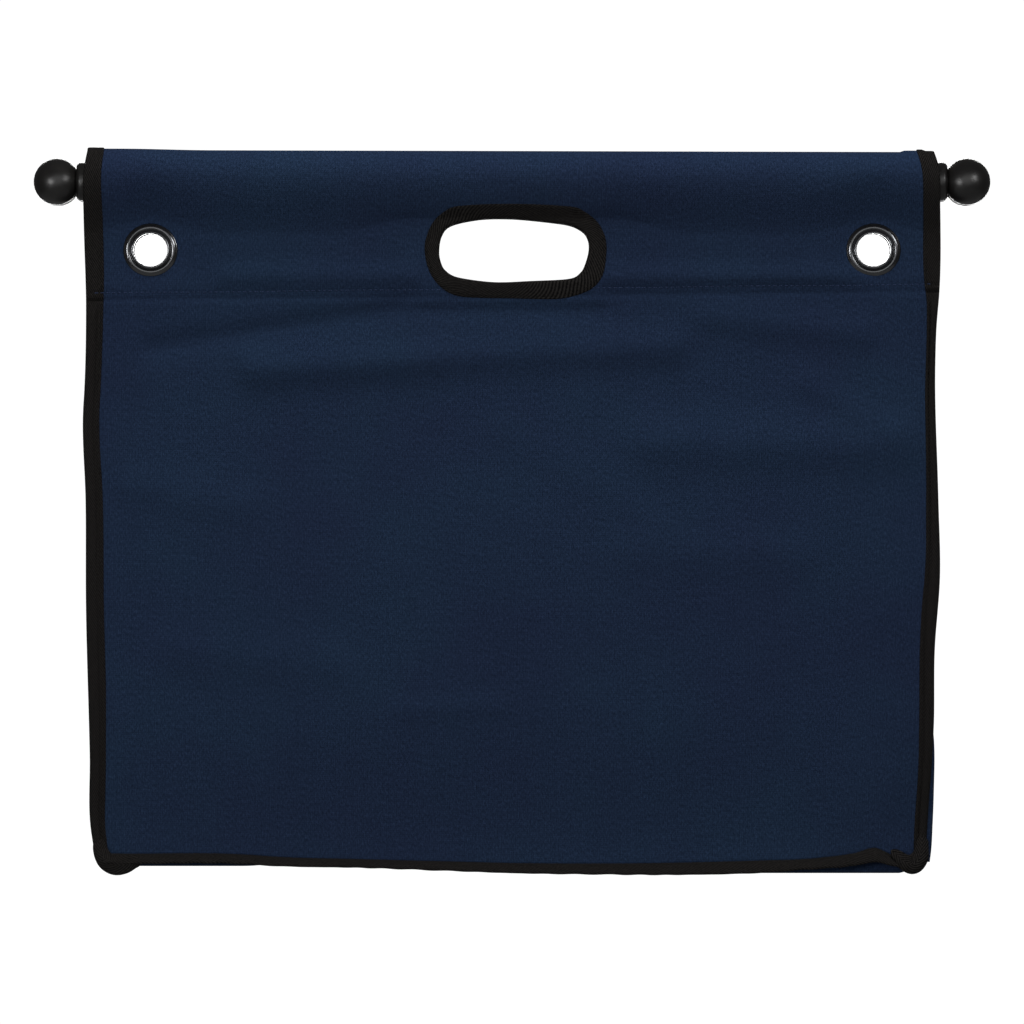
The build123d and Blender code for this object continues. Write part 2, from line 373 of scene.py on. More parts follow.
# Brass plated with black nickel: it mirrors the lamps as bright rings on a dark metal.
EYELET_BLACK = hard_finish(
    "pressed brass, black nickel plated", "#57585a", "#636466", 1500.0, 0.03, {"Roughness": 0.22, "Metallic": 1.0}
)
# Powder coat on steel: fine orange-peel, a medium gloss.
ROD_BLACK = hard_finish(
    "steel tube, black powder coat", "#121213", "#19191a", 900.0, 0.5, {"Roughness": 0.42, "IOR": 1.5}
)
BLUE_THREAD = sewing_thread("spun polyester thread, pale blue", "#18223a", "#2f3b57")
BLACK_THREAD = sewing_thread("spun polyester thread, black", "#030303", "#0c0c0c")

# ---------------------------------------------------------------- the wall's outlines


def outer_edge(side, z):
    """How far a wall reaches sideways at a height: nearly straight, pulled out of true by the sewing."""
    if side < 0:
        heights = (0, 20, 30, 80, 180, 250, 310, 322, 380, 440, 470, 483)
        reach = (278.6, 279, 280.5, 281.2, 283.7, 284, 285.7, 285, 283.8, 285.3, 285, 282.9)
    else:
        heights = (0, 10, 22, 50, 68, 100, 150, 200, 250, 340, 365, 390, 445, 475, 483)
        reach = (275.4, 275.8, 276.2, 277.8, 279.2, 280.9, 281.5, 285, 284, 282, 282.8, 284.8, 285.1, 283.4, 281)
    return side * through(z, heights, reach)


def tape_width(side, z):
    """How much of the wall the side tape covers at a height: it rolls round the edge more in some places."""
    if side < 0:
        heights = (0, 20, 50, 80, 120, 200, 390, 400, 460, 483)
        wide = (9, 9, 10.2, 10.4, 11.5, 11.5, 11.6, 12, 11.8, 10.8)
    else:
        heights = (0, 30, 60, 100, 150, 183, 217, 250, 317, 375, 384, 392, 450, 483)
        wide = (7.6, 8.2, 8.2, 9.4, 9.6, 10.4, 9, 7.8, 6.4, 6.8, 7.8, 9.4, 10.9, 11.3)
    return through(z, heights, wide)


# Places across the wall where the bottom tape's height is given.
SEAM_PLACES = (-285, -262, -181, -155, -101, -48, 5, 59, 112, 165, 192, 212, 228, 243, 252, 264)


def seam_line(x):
    """Height of the bottom tape's root along the wall: the seam hangs lower in the middle."""
    heights = (14.6, 14.2, 13.7, 11.9, 10.3, 9, 7.8, 7.6, 8.3, 9.7, 10.4, 12.2, 14.6, 18.2, 14, 11)
    return through(x, SEAM_PLACES, heights)


def seam_tip(x):
    """Height of the bottom tape's free edge along the wall."""
    return through(x, SEAM_PLACES, (8, 8, 8, 6.6, 5.6, 3.7, 1.8, 1, 0.6, 1.9, 4, 5.2, 6.6, 8.8, 7, 5))


def hem_line(x):
    """Height of the stitches that close the rod sleeve: they rise a little to the right."""
    return HEM + 1.2 + 2.9 * x / 273


def top_line(x):
    """Height of the fold over the rod: a little higher at the left, with a small hump at the right end."""
    return TOP + 0.2 - 0.7 * x / 270 + 0.9 * smooth((-x - 200) / 60) + smooth((x - 259) / 3) * smooth((276 - x) / 3)


# Creases and swellings of the wall: both ends, how wide, and how far out (or in, below 0).
FOLDS = (
    (-190, 400, -66, 401, 7, 1.3),
    (67, 400, 238, 401, 7, 1.3),
    (-170, 338, -52, 345, 12.5, 2.8),
    (-28, 347, 105, 353, 12, 2.1),
    (130, 373, 232, 362, 11, 1.4),
    (-238, 352, -75, 377, 8, -1.6),
    (-60, 376, 60, 376, 6, -1.2),
    (95, 289, 256, 287, 17, 2.1),
    (80, 216, 190, 214, 15, 0.8),
    (-4, 297, 98, 235, 14, 0.45),
    (196, 328, 254, 297, 9, 0.9),
    (-75, 110, -8, 113, 7, 0.5),
    (-225, 150, -120, 141, 16, 0.9),
    (-250, 260, -180, 246, 13, 0.9),
)


def relief(x, z):
    """How far a wall stands out of its plane at a point, in millimetres.

    It swells away from its side edges, flares towards the bottom seam, steps at the hem, and has the
    creases above: each is a bell around a short line. It is flat where the eyelets are pressed in.
    """
    from_left = x - outer_edge(-1, z)
    from_right = outer_edge(1, z) - x
    out = 1.3 * (1 - np.exp(-np.clip(from_left, 0, None) / 13)) * (1 - np.exp(-np.clip(from_right, 0, None) / 13))
    out = out + 7 * smooth((z - 10) / 105) * smooth((380 - z) / 190) * (1 - 0.35 * (x / 285) ** 2)
    for x0, z0, x1, z1, wide, high in FOLDS:
        run = ((x - x0) * (x1 - x0) + (z - z0) * (z1 - z0)) / ((x1 - x0) ** 2 + (z1 - z0) ** 2)
        run = np.clip(run, 0, 1)
        gap = np.hypot(x - x0 - run * (x1 - x0), z - z0 - run * (z1 - z0))
        out = out + 2.1 * high * bump(gap / wide)
    out = out + 0.22 * np.sin(x / 31 + 1.3 * np.sin(z / 47)) * np.sin(z / 23 + 0.8 * np.sin(x / 61 + 1))
    out = out + 0.07 * np.sin(x / 7.3 + 2 * np.sin(z / 19)) * np.sin(z / 8.9 + 1.7)
    out = out + 1.2 * np.exp(-np.clip(z - 8, 0, None) / 13)
    # The wall sinks behind the lower right corner, where the gusset's foot pulls it back.
    out = out + 2.2 * bump((x - 236) / 22) * bump((z - 52) / 34) - 2.0 * bump((x - 267) / 13) * bump((z - 34) / 26)
    hem = hem_line(x)
    out = out - 0.8 * bump((z - hem + 4.6) / 2.2) + 0.4 * bump((z - hem - 5) / 4) - 0.3 * bump((z - hem) / 1.1)
    eyelet = np.hypot(np.abs(x) - EYE_X, z - EYE_Z)
    return out * (1 - np.exp(-((eyelet / (WASHER + 5)) ** 4)))


def wall(x, k):
    """The middle of the wall's cloth at a place across it and a station along it, as depth and height.

    Station 0 is the bottom seam, 1 the hem's stitches, 2 where the two layers part below the rod, 3 where
    they meet again behind it, and 4 the end of the inner layer, at the hem. Between 2 and 3 the cloth
    follows a teardrop: with t from 0 to a half turn and back, its height goes as 1 - cos t, and its half
    width as sin t times a power of sin t/2, which is lower at the hand opening, where it opens later.
    """
    hem = hem_line(x)
    at_grip = smooth((122 - np.abs(x)) / 56)
    parting = 426 + 12 * at_grip + 11 * bump((np.abs(x) - EYE_X) / 24)
    top = top_line(x)
    power = 1 - 0.55 * at_grip
    t = 2 * np.pi * np.clip(k - 2, 0, 1)
    t = np.pi - np.abs(np.pi - t)
    widest = 2 * ((power + 1) / (power + 2)) ** ((power + 1) / 2) / np.sqrt(power + 2)
    gap = LOOP / widest * np.sin(t) * np.sin(t / 2) ** power
    ease = 5.0  # how softly the two layers part
    gap = np.sqrt(gap**2 + ease**2) - ease
    gap = gap * (LOOP / (np.sqrt(LOOP**2 + ease**2) - ease)) + CLOTH / 2 * (1 + np.cos(t)) / 2
    lower = seam_line(x) - 1.5
    z = np.where(k < 1, lower + (hem - lower) * k, hem + (parting - hem) * np.clip(k - 1, 0, 1))
    z = np.where(k > 2, parting + (top - parting) * (1 - np.cos(t)) / 2, z)
    z = np.where(k > 3, parting + (hem - 2.5 - parting) * np.clip(k - 3, 0, 1), z)
    side = np.where(k < 2.5, -1.0, 1.0)
    centre = -BAND + (ROD_Y + BAND) * smooth((z - parting) / 22)
    fade = 1 - smooth((z - parting + 6) / 22)
    return centre + side * gap - relief(x, z) * fade, z


def wall_normal(x, k):
    """The direction out of the wall's cloth, square to its path, as depth and height."""
    step = 0.004
    y0, z0 = wall(x, np.clip(k - step, 0, 4))
    y1, z1 = wall(x, np.clip(k + step, 0, 4))
    long = np.hypot(y1 - y0, z1 - z0) + 1e-9
    return -(z1 - z0) / long, (y1 - y0) / long


def on_wall(x, z, outer):
    """Depth of the middle of a wall's cloth at a place and height, on its outer or its inner layer.

    The station is found by halving: height rises along the outer layer and falls along the inner one.
    """
    low = np.full(np.shape(z), 0.5 if outer else 4.0)
    high = np.full(np.shape(z), 2.45 if outer else 2.55)
    for _ in range(20):
        half = (low + high) / 2
        below = wall(x, half)[1] < z
        low = np.where(below, half, low)
        high = np.where(below, high, half)
    return wall(x, (low + high) / 2)[0]


# Stations, closer together at the hem, where the cloth steps.
PANEL_STATIONS = np.concatenate((np.linspace(0, 0.963, 112, endpoint=False), np.linspace(0.963, 1, 16)))
BAND_STATIONS = np.concatenate((np.linspace(1, 1.18, 8, endpoint=False), np.linspace(1.18, 2, 14)))[1:]
LOOP_STATIONS = np.linspace(2, 3, 52)[1:]
INNER_STATIONS = np.linspace(3, 4, 18)[1:]
STATIONS = np.concatenate((PANEL_STATIONS, BAND_STATIONS, LOOP_STATIONS, INNER_STATIONS))

# The hand opening's edge, and the outer edge of its tape: from its middle, anticlockwise from the right.
OPENING = (
    (52.0, 1.5), (51.0, 9.0), (46.8, 14.2), (37.3, 18.4), (16.5, 21.2), (-4.0, 22.6), (-24.0, 21.8), (-41.5, 17.5),
    (-47.6, 10.5), (-49.3, 0.5), (-48.0, -7.5), (-44.6, -13.4), (-36.0, -18.0), (-13.3, -21.2), (12.0, -20.6),
    (38.0, -19.0), (46.0, -15.0), (49.6, -8.5),
)
TAPED_EDGE = (
    (62.7, -1.5), (62.0, 9.0), (57.3, 18.7), (48.7, 26.0), (38.0, 29.6), (2.0, 31.3), (-34.0, 30.0), (-45.0, 26.3),
    (-52.8, 18.7), (-57.3, 8.0), (-58.0, 0.0), (-56.0, -10.5), (-50.7, -20.3), (-41.0, -28.0), (-28.0, -30.6),
    (-2.0, -31.2), (20.0, -31.8), (34.0, -31.2), (46.0, -28.2), (55.4, -23.0), (60.7, -14.7),
)


def around(outline, count):
    """A closed outline at equal steps of angle from the middle of the hand opening."""
    line = closed_curve(outline, 721)
    angle = np.unwrap(np.arctan2(line[:, 1], line[:, 0]))
    wanted = np.linspace(0, 2 * np.pi, count)
    reach = np.hypot(line[:, 0], line[:, 1])
    reach = np.interp(wanted, angle - angle[0] + np.arctan2(line[0, 1], line[0, 0]), reach, period=2 * np.pi)
    return np.stack((reach * np.cos(wanted), reach * np.sin(wanted)), axis=-1)


def radius_of(outline, x, z):
    """How far an outline is from its middle in the direction of each point."""
    line = around(outline, 361)
    reach = np.hypot(line[:, 0], line[:, 1])
    return np.interp(np.arctan2(z, x), np.linspace(0, 2 * np.pi, 361), reach, period=2 * np.pi)


# ---------------------------------------------------------------- walls


def make_wall(depth_name):
    """One piece of canvas from the bottom seam up, over the rod and down to the hem, with its three holes.

    Points inside a hole are moved out to its edge, and faces that lie inside it are left out.
    """
    columns = np.linspace(0, 1, 182)
    k = STATIONS[:, None] + 0 * columns[None, :]
    x = (columns - 0.5)[None, :] * 568.0 + 0 * k
    for _ in range(3):
        z = wall(x, k)[1]
        left = outer_edge(-1, z) + 0.8
        right = outer_edge(1, z) - 0.8
        x = left + (right - left) * columns[None, :]
    inside = np.zeros(x.shape, bool)
    z = wall(x, k)[1]
    flat = (k > 1) & ((k < 2.2) | (k > 2.8))
    # The cloth's own hole is larger than the tape's, so that the tape's fold hides its edge.
    near = radius_of(OPENING, x, z - GRIP_Z) + 1.2
    reach = np.hypot(x, z - GRIP_Z)
    hole = flat & (reach < near)
    inside |= hole
    scale = np.where(hole, near / np.maximum(reach, 1), 1.0)
    moved_x = x * scale
    moved_z = GRIP_Z + (z - GRIP_Z) * scale
    for side in (-1, 1):
        reach = np.hypot(x - side * EYE_X, z - EYE_Z)
        hole = flat & (reach < 13.0)
        inside |= hole
        scale = 13.0 / np.maximum(reach, 0.5)
        moved_x = np.where(hole, side * EYE_X + (x - side * EYE_X) * scale, moved_x)
        moved_z = np.where(hole, EYE_Z + (z - EYE_Z) * scale, moved_z)
    y = wall(x, k)[0]
    layer = np.where(k < 2.5, -1.0, 1.0)
    on_band = -BAND + layer * CLOTH / 2 - relief(moved_x, moved_z)
    y = np.where(inside, on_band, y)
    points = np.stack((moved_x, y, moved_z), axis=-1)
    corner = inside[:-1, :-1] & inside[1:, :-1] & inside[:-1, 1:] & inside[1:, 1:]
    length = run_length(np.stack((0 * x, wall(x, k)[0], z), axis=-1))
    uv = np.stack((x, length), axis=-1) * 0.001
    made = mesh_object(
        depth_name + "_wall_canvas", [(points, uv, ~corner)], CANVAS, CLOTH - 0.1, depth=DEPTHS[depth_name]
    )
    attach(made, depth_name + "_wall")
    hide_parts(depth_name + "_panel", depth_name + "_rod_sleeve")
    return made


# Section of the side tape: share of its width from the outer edge, and how far it stands off the cloth.
TAPE_ACROSS = np.array((1, 0.985, 0.95, 0.88, 0.8, 0.73, 0.69, 0.66, 0.63, 0.59, 0.5, 0.38, 0.25, 0.13, 0.05, 0.01, 0,
                        0.01, 0.06, 0.2, 0.4, 0.6, 0.8, 0.93, 1))
TAPE_OFF = np.array((0.62, 0.88, 0.98, 1.02, 1.02, 1.0, 0.96, 0.93, 0.95, 1.0, 1.04, 1.06, 1.06, 1.04, 0.92, 0.6, 0,
                     -0.6, -0.88, -0.92, -0.92, -0.92, -0.92, -0.9, -0.7))
# The outer strip's rounding below the hem, where the gusset's edge is sewn in with the wall's.
ROUNDED = np.array((0, 0, 0, 0, 0, -0.1, -0.42, -0.5, -0.2, 0.4, 0.95, 1.25, 1.3, 1.05, 0.5, 0.15, 0,
                    0, 0, 0, 0, 0, 0, 0, 0))


def side_tape(depth_name, side_name, stations, label, nodes):
    """Tape folded over the wall's side edge: its section is carried along the wall's own path."""
    side = SIDES[side_name]
    k = stations[:, None] + 0 * TAPE_ACROSS[None, :]
    x = side * 280.0 + 0 * k
    for _ in range(3):
        z = wall(x, k)[1]
        edge = outer_edge(side, z)
        x = edge - side * TAPE_ACROSS[None, :] * tape_width(side, z)
    rounded = smooth((hem_line(x) - 8 - z) / 7) * (k < 1) * (0.85 + 0.15 * np.sin(z / 17))
    off = TAPE_OFF[None, :] + ROUNDED[None, :] * rounded
    # Between the two layers of the band the tape's inner half lies flat where they meet.
    parted = np.where(k < 1, 1.0, smooth((np.clip(k, 2, 3) - 2) / 0.12) * smooth((3 - np.clip(k, 2, 3)) / 0.12))
    off = np.where((off < 0) & (k > 1), off * (0.55 + 0.45 * parted), off)
    base = side * np.maximum(np.abs(edge) - 1.0, 0)
    y, z = wall(np.where(np.abs(x) > np.abs(base), base, x), k)
    normal_y, normal_z = wall_normal(base, k)
    points = np.stack((x, y + normal_y * off, z + normal_z * off), axis=-1)
    run = run_length(points)[:, :1] + 0 * x
    across = np.cumsum(np.concatenate(([0], np.abs(np.diff(TAPE_ACROSS * 12.5)) + 0.02)))
    uv = np.stack((run, across[None, :] - across[16] + 0 * x), axis=-1) * 0.001
    made = mesh_object(label, [(points, uv, None)], BLACK_TAPE, TAPE, depth=DEPTHS[depth_name])
    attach(made, depth_name + "_wall")
    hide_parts(*nodes)
    return made


def make_side_tapes(depth_name, side_name):
    """The tape on one side edge of a wall, below and above the hem."""
    stem = depth_name + "_" + side_name
    below = np.concatenate((np.linspace(0.012, 0.955, 90, endpoint=False), np.linspace(0.955, 0.999, 14)))
    above = np.concatenate(
        (np.linspace(0.985, 2, 34, endpoint=False), np.linspace(2, 3, 60, endpoint=False), np.linspace(3, 4, 24))
    )
    lower = side_tape(depth_name, side_name, below, stem + "_side_tape", [stem + "_side_binding"])
    upper = side_tape(depth_name, side_name, above, stem + "_sleeve_tape", [stem + "_sleeve_binding"])
    return [lower, upper]


RING_ACROSS = np.array((1, 0.985, 0.93, 0.82, 0.68, 0.52, 0.36, 0.2, 0.08, 0.01, -0.03, -0.045, -0.03, 0.01, 0.08, 0.25,
                        0.5, 0.75, 0.93, 1))
RING_OFF = np.array((-1.15, -1.5, -1.72, -1.8, -1.84, -1.9, -1.98, -2.0, -1.85, -1.4, -0.75, 0, 0.75, 1.4, 1.7, 1.75,
                     1.65, 1.6, 1.5, 1.2))


def make_grip_tape(depth_name):
    """Tape folded over the hand opening's edge, through both layers: a section carried round two outlines."""
    count = 220
    inner = around(OPENING, count)
    outer = around(TAPED_EDGE, count)
    share = RING_ACROSS[None, :, None]
    flat = inner[:, None, :] * (1 - share) + outer[:, None, :] * share
    turn = np.linspace(0, 2 * np.pi, count)[:, None]
    # The tape puckers where it goes round the ends, and its edge is tucked unevenly.
    pucker = 0.12 * np.sin(23 * turn) * np.abs(np.cos(turn)) * np.clip(RING_ACROSS, 0, 1)[None, :]
    off = RING_OFF[None, :] * (1 + 0.05 * np.sin(3 * turn + 1)) + pucker * np.sign(RING_OFF)[None, :]
    x = flat[..., 0]
    z = GRIP_Z + flat[..., 1]
    lay = -BAND - relief(x, z)
    front = np.minimum(on_wall(x, z, True) + CLOTH / 2, lay)
    rear = np.maximum(on_wall(x, z, False) - CLOTH / 2, lay)
    y = np.where(off < 0, front, rear) + off
    points = np.stack((x, y, z), axis=-1)
    ring = inner * 0.45 + outer * 0.55
    run = np.concatenate(([0], np.cumsum(np.hypot(*np.diff(ring, axis=0).T))))
    across = np.cumsum(np.concatenate(([0], np.hypot(np.diff(RING_ACROSS * 9.5), np.diff(RING_OFF)))))
    uv = np.stack((run[:, None] + 0 * x, across[None, :] - across[11] + 0 * x), axis=-1) * 0.001
    made = mesh_object(
        depth_name + "_grip_tape", [(points, uv, None)], BLACK_TAPE, TAPE, depth=DEPTHS[depth_name]
    )
    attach(made, depth_name + "_wall")
    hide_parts(depth_name + "_grip_binding")
    return made


# Section of the bottom tape: share of the way from the seam to its free edge, and half its thickness there.
HOLD_ALONG = np.array((0.0, 0.03, 0.12, 0.3, 0.5, 0.7, 0.88, 0.96, 1.0))
HOLD_THICK = np.array((0.0, 0.75, 1.05, 1.1, 1.05, 1.05, 1.0, 0.75, 0.0))


def make_bottom_tape(depth_name):
    """Tape folded over the seam between wall and bottom: it stands out forwards and down, and wanders.

    The section is a flat loop: out along its upper side, round the free edge, and back underneath.
    """
    x = np.linspace(outer_edge(-1, 14.0) + 6, outer_edge(1, 14.0) - 12, 300)
    root_z = seam_line(x)
    tip_z = seam_tip(x) + 0.25 * np.sin(x / 3.1 + np.sin(x / 17)) * np.sin(x / 41)
    drop = root_z - tip_z
    reach = np.sqrt(np.maximum(11.6**2 - drop**2, 9.0)) - 1.4
    root_y = -FACE - relief(x, root_z) + 0.9
    along = np.concatenate((HOLD_ALONG, HOLD_ALONG[::-1][1:]))
    thick = np.concatenate((HOLD_THICK, -HOLD_THICK[::-1][1:]))
    slope = np.arctan2(drop, reach)[:, None]
    # The tape droops: its upper side is rounded along the way out.
    sag = 0.9 * np.sin(np.pi * along)[None, :]
    y = root_y[:, None] - reach[:, None] * along[None, :] - (thick[None, :] + sag) * np.sin(slope)
    z = root_z[:, None] - drop[:, None] * along[None, :] + (thick[None, :] + sag) * np.cos(slope)
    points = np.stack((x[:, None] + 0 * y, y, z), axis=-1)
    across = np.cumsum(np.concatenate(([0], np.abs(np.diff(along * 11.6)) + 0.1)))
    uv = np.stack((x[:, None] + 0 * y, across[None, :] - across[8] + 0 * y), axis=-1) * 0.001
    made = mesh_object(
        depth_name + "_bottom_tape", [(points, uv, None)], BLACK_TAPE, closed=True, depth=DEPTHS[depth_name]
    )
    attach(made, depth_name + "_wall")
    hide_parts(depth_name + "_bottom_binding")
    return made


# Folded ends of the tape at the bottom corners: place across and up, depth, half width and thickness.
CORNER_PATH = {
    "left": (
        (-274.8, 25, -20.2, 4.2, 1.2), (-274.3, 17, -21.4, 5.0, 2.0), (-270.8, 10.2, -23.2, 6.0, 2.8),
        (-264.8, 7.2, -24.6, 6.8, 3.2), (-258.2, 7.4, -25.2, 6.2, 3.0), (-252, 9.2, -25.2, 4.6, 2.3),
        (-246, 10.4, -25, 3.0, 1.4),
    ),
    "right": (
        (273.2, 27, -20.2, 4.2, 1.2), (273.2, 19, -21.4, 4.6, 2.0), (271.6, 12, -23.4, 6.0, 3.0),
        (267.2, 7.6, -25.2, 6.6, 3.4), (261.6, 9.2, -26, 5.6, 3.0), (257, 13.2, -25.8, 4.0, 2.2),
        (252.6, 17.2, -24.6, 2.6, 1.4),
    ),
}


def make_corner_tape(depth_name, side_name):
    """The end of the side tape, folded under the corner and back along the bottom seam, as a flat loop.

    The section is a rounded lens, turned so that it lies across the path, and closed to a point at both ends.
    """
    path = np.array(CORNER_PATH[side_name], float)
    at = np.linspace(0, len(path) - 1, 56)
    line = np.stack([through(at, np.arange(len(path)), path[:, i]) for i in range(5)], axis=-1)
    ends = np.sqrt(np.clip(np.minimum(at, at[-1] - at) / 0.55, 0, 1))
    ends[0] = 0.0
    ends[-1] = 0.0
    way = np.gradient(line[:, :2], axis=0)
    way = way / np.linalg.norm(way, axis=-1, keepdims=True)
    turn = np.linspace(0, 2 * np.pi, 29)[None, :]
    across = line[:, 3:4] * ends[:, None] * np.cos(turn)
    # Pleats run along the fold, as the tape is doubled under itself.
    pleat = 0.35 * np.cos(3 * turn + 0.9 * at[:, None]) * ends[:, None]
    lens = line[:, 4:5] * np.sign(np.sin(turn)) * np.abs(np.sin(turn)) ** 0.8
    out = (lens + pleat * (np.sin(turn) > 0)) * ends[:, None]
    x = line[:, 0:1] - way[:, 1:2] * across
    z = line[:, 1:2] + way[:, 0:1] * across
    y = line[:, 2:3] - out
    points = np.stack((x, y, z), axis=-1)
    run = np.concatenate(([0], np.cumsum(np.linalg.norm(np.diff(line[:, :2], axis=0), axis=-1))))
    uv = np.stack((run[:, None] + 0 * x, across * 0.9), axis=-1) * 0.001
    made = mesh_object(
        f"{depth_name}_{side_name}_corner_tape", [(points, uv, None)], BLACK_TAPE, closed=True,
        depth=DEPTHS[depth_name],
    )
    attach(made, depth_name + "_wall")
    return made


def seam_fold(name, start, finish, place, outward, reach, body):
    """The cloth's slack between a wall and what is hinged to it: a fold like a U, carried along the seam.

    It leaves the wall's inner face, goes outward by its reach, and comes back to the seam's axis.
    """
    at = np.linspace(start, finish, 140)
    half = np.linspace(0, np.pi, 15)[None, :]
    long = reach(at)[:, None]
    near = -BACK - 0.3
    axis = SEAM[1] + 0.9
    depth = (near + axis) / 2 + (near - axis) / 2 * np.cos(half) + 0 * long
    out = long * np.sin(half) ** 0.7 - 1.5 * (np.cos(half) < 0) * np.abs(np.cos(half)) ** 4
    points = place(at[:, None] + 0 * out, depth, out * outward)
    uv = np.stack((at[:, None] + 0 * out, out), axis=-1) * 0.001
    made = mesh_object(name, [(points, uv, None)], CANVAS, CLOTH - 0.2, depth=DEPTHS[body.split("_")[0]])
    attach(made, body)
    return made


def make_seam_folds(depth_name):
    """The slack at the wall's three seams. It shows past the tape at the lower right corner."""
    body = depth_name + "_wall"
    made = []
    for side_name, side in SIDES.items():
        swell = (5.6, 6.3, 7.6, 8.4, 8.6, 3.4, 3.0) if side > 0 else (3.0, 3.2, 3.4, 3.4, 3.2, 3.0, 3.0)

        def reach(z, swell=swell):
            return through(z, (9, 14, 35, 57, 88, 130, 390), swell)

        def place(z, depth, out, side=side):
            return np.stack((side * abs(SEAM[0]) + out, depth, z), axis=-1)

        made.append(
            seam_fold(f"{depth_name}_{side_name}_seam_fold", 9.0, GUSSET_TOP - 1, place, side, reach, body)
        )

    def hang(x):
        left = 5.3 * smooth((-x - 120) / 60) * smooth((x + 268) / 6)
        right = 10.0 * smooth((x - 105) / 45) * smooth((267 - x) / 6)
        return 1.0 + left + right

    def below(x, depth, out):
        return np.stack((x, depth, SEAM_Z + 0 * x + out), axis=-1)

    made.append(seam_fold(depth_name + "_bottom_seam_fold", -268.0, 266.0, below, -1.0, hang, body))
    return made


# ---------------------------------------------------------------- eyelets, rods and finials


def spun(name, profile, centre, axis, material, depth, steps=72, squeeze=1.0):
    """A profile of (distance along the axis, radius) spun round an axis, 0 for along X and 1 for along Y."""
    turn = np.linspace(0, 2 * np.pi, steps + 1)[None, :]
    along = profile[:, 0:1] + 0 * turn
    radius = profile[:, 1:2]
    a = radius * np.cos(turn)
    b = radius * np.sin(turn) * squeeze
    points = np.stack((along, a, b) if axis == 0 else (a, along, b), axis=-1) + np.asarray(centre)
    uv = np.stack((turn * 10 + 0 * along, along), axis=-1) * 0.001
    return mesh_object(name, [(points, uv, None)], material, closed=True, depth=depth)


def make_eyelet(depth_name, side_name):
    """A washer with a rounded crest, and the barrel whose rim is rolled over inside it."""
    side = SIDES[side_name]
    stem = f"{depth_name}_{side_name}_eyelet"
    centre = (side * EYE_X, -FACE, EYE_Z)
    scale = WASHER / 18.1
    washer = closed_curve(
        ((0.1, 18.1), (-0.7, 18.0), (-1.15, 17.3), (-1.75, 16.4), (-2.1, 15.4), (-1.95, 14.5), (-1.3, 13.7),
         (-0.95, 13.0), (-0.75, 12.4), (-0.2, 12.3), (-0.1, 13.5), (-0.1, 16.0)),
        73,
    ) * np.array((1.0, scale))
    barrel = closed_curve(
        ((3.1, 11.35), (0.5, 11.3), (-1.2, 11.3), (-1.8, 11.5), (-2.05, 12.05), (-1.8, 12.7), (-1.2, 12.95),
         (-0.85, 12.5), (-0.4, 12.05), (1.2, 12.0), (2.3, 12.2), (2.5, 13.4), (2.5, 16.2), (2.9, 16.8),
         (3.5, 16.3), (3.8, 14.0), (3.7, 12.0)),
        97,
    )
    for label, profile, node in (("washer", washer, stem + "_washer"), ("barrel", barrel, stem)):
        made = spun(f"{stem}_{label}_ring", profile, centre, 1, EYELET_BLACK, DEPTHS[depth_name], 96, 0.97)
        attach(made, depth_name + "_wall")
        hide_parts(node)


def make_rod(depth_name):
    """A steel tube with slightly broken ends."""
    inner = ROD_RADIUS - 1.5
    end = ROD_END
    profile = np.array(
        ((-end + 0.3, inner), (-end, inner + 0.3), (-end, ROD_RADIUS - 0.4), (-end + 0.4, ROD_RADIUS),
         (-200, ROD_RADIUS), (-100, ROD_RADIUS), (0, ROD_RADIUS), (100, ROD_RADIUS), (200, ROD_RADIUS),
         (end - 0.4, ROD_RADIUS), (end, ROD_RADIUS - 0.4), (end, inner + 0.3), (end - 0.3, inner),
         (150, inner), (0, inner), (-150, inner), (-end + 0.3, inner)), float
    )
    made = spun(depth_name + "_rod_tube", profile, (0, ROD_Y, ROD_Z), 0, ROD_BLACK, DEPTHS[depth_name], 64)
    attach(made, depth_name + "_rod")
    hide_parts(depth_name + "_rod")
    return made


def make_finial(depth_name, side_name):
    """A ball on a collar, with a ribbed plug: its profile runs from the ball's pole to the plug's end."""
    side = SIDES[side_name]
    radius = (finial_high[2] - finial_low[2]) / 2
    ball_x = -finial_low[0] - radius
    collar = 0.826 * radius
    seat = ball_x - 13.2
    turn = np.linspace(0, np.pi - np.arcsin(8.6 / radius), 40)
    ball = np.stack((ball_x + radius * np.cos(turn), radius * np.sin(turn)), axis=-1)
    neck = np.array(
        ((seat + 0.4, 8.0), (seat + 0.1, 8.2), (seat, 8.8), (seat, 10.2), (seat - 0.15, 10.9), (seat - 0.9, 11.9),
         (seat - 1.7, 12.6), (seat - 2.4, collar), (seat - 5, collar), (ROD_END + 0.4, collar),
         (ROD_END + 0.1, collar - 0.3), (ROD_END, collar - 0.8))
    )
    ribs = [(ROD_END - 0.02, 10.1)]
    for i in range(4):
        start = ROD_END - 2.2 - 6.5 * i
        ribs += [(start, 10.1), (start - 0.3, 10.9), (start - 1.7, 10.9), (start - 2.0, 10.1)]
    ribs += [(ROD_END - 25.2, 10.0), (ROD_END - 26, 9.2), (ROD_END - 26, 0.0)]
    profile = np.concatenate((ball, neck, np.array(ribs))) * np.array((side, 1.0))
    name = f"{depth_name}_{side_name}_finial"
    made = spun(name + "_ball", profile, (0, ROD_Y, ROD_Z), 0, MOULDED, DEPTHS[depth_name], 72)
    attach(made, name)
    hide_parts(name)


# ---------------------------------------------------------------- gussets and bottom

LAYER = 1.3  # from the line between a folded half's hinges to the middle of its cloth


